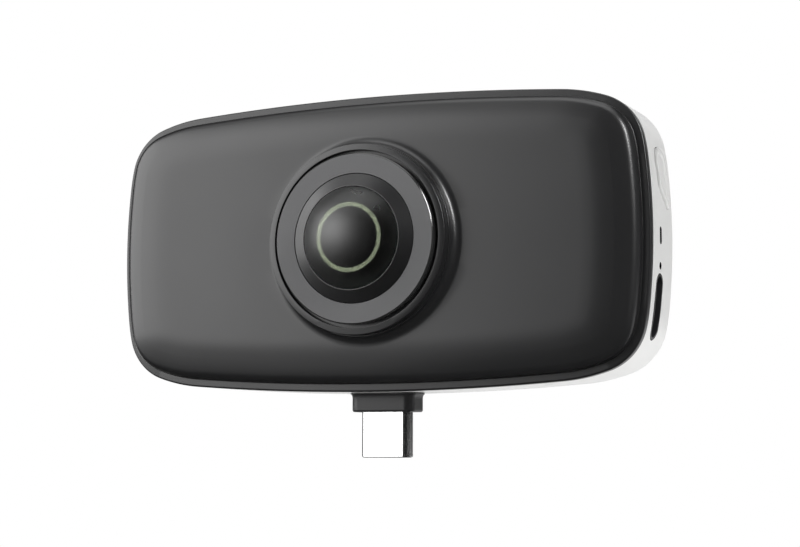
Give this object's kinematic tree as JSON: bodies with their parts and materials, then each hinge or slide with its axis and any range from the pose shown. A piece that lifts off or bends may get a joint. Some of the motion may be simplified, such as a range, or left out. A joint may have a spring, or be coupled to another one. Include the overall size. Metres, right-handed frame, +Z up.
{
  "type": "360 degree camera",
  "caption": "Pocket panoramic camera with back-to-back fisheye lenses, black front shell, white rear housing, side shutter button and a plug that fits a phone's charging port",
  "frame": {"origin": "the middle of the plug's section, where the plug leaves its collar", "axes": "+X to the right as seen from the front lens's side, towards the wall with the button and the port; +Y from the front lens to the rear lens; +Z up, from the plug to the body"},
  "size_m": [0.0869, 0.036, 0.0546],
  "materials": {
    "black_shell": "soft-gloss black moulding",
    "white_shell": "white moulding",
    "ring_grey": "dark anodised, finely turned",
    "black_gloss": "gloss black",
    "lens_glass": "coated lens glass",
    "spacer_olive": "olive lens spacer",
    "barrel_black": "black lens barrel",
    "black_plastic": "black moulding",
    "chip_black": "chip package",
    "board_green": "circuit board",
    "screw_steel": "plated steel",
    "flex_amber": "flexible circuit",
    "plate_aluminium": "plain aluminium",
    "shield_steel": "tinned steel",
    "battery_foil": "battery pouch",
    "foam_black": "black foam or rubber",
    "plug_steel": "bright steel",
    "contact_gold": "gold plated",
    "pipe_clear": "clear light guide",
    "button_white": "white moulding"
  },
  "bodies": {
    "camera_body": {"front_shell": "black_shell", "rear_housing": "white_shell", "front_lens_ring": "ring_grey", "rear_lens_ring": "ring_grey", "front_lens_bezel": "black_gloss", "rear_lens_bezel": "black_gloss", "front_lens_dome": "lens_glass", "rear_lens_dome": "lens_glass", "front_spacer_ring": "spacer_olive", "rear_spacer_ring": "spacer_olive", "front_second_lens": "lens_glass", "rear_second_lens": "lens_glass", "front_third_lens": "lens_glass", "rear_third_lens": "lens_glass", "front_lens_barrel": "barrel_black", "rear_lens_barrel": "barrel_black", "front_lens_holder": "black_plastic", "rear_lens_holder": "black_plastic", "front_image_sensor": "chip_black", "rear_image_sensor": "chip_black", "front_sensor_glass": "lens_glass", "rear_sensor_glass": "lens_glass", "front_sensor_board": "board_green", "rear_sensor_board": "board_green", "front_sensor_screws": "screw_steel", "rear_sensor_screws": "screw_steel", "front_sensor_flex": "flex_amber", "rear_sensor_flex": "flex_amber", "mid_plate": "plate_aluminium", "frame_screws": "screw_steel", "main_board": "board_green", "board_screws": "screw_steel", "shield_can": "shield_steel", "processor": "chip_black", "battery": "battery_foil", "battery_pads": "foam_black", "battery_lead": "flex_amber", "plug_collar": "black_plastic", "plug_shell": "plug_steel", "plug_insert": "black_plastic", "plug_contacts": "contact_gold", "plug_board": "board_green", "plug_lead": "flex_amber", "port_liner": "black_plastic", "port_shell": "plug_steel", "port_insert": "black_plastic", "port_contacts": "contact_gold", "light_pipe": "pipe_clear", "status_light": "chip_black", "microphone": "shield_steel", "mic_boot": "foam_black", "shutter_switch": "black_plastic", "reset_switch": "black_plastic"},
    "shutter_button": {"shutter_button": "button_white", "shutter_plunger": "black_plastic"},
    "reset_plunger": {"reset_plunger": "black_plastic"}
  },
  "joints": [
    {"name": "shutter_press", "type": "slide", "parent": "camera_body", "child": "shutter_button", "axis": [-1, 0, 0], "range_m": [0, 0.0004], "stiffness_N_per_m": 3000},
    {"name": "reset_press", "type": "slide", "parent": "camera_body", "child": "reset_plunger", "axis": [0, 0, 1], "range_m": [0, 0.0004], "stiffness_N_per_m": 3000}
  ]
}
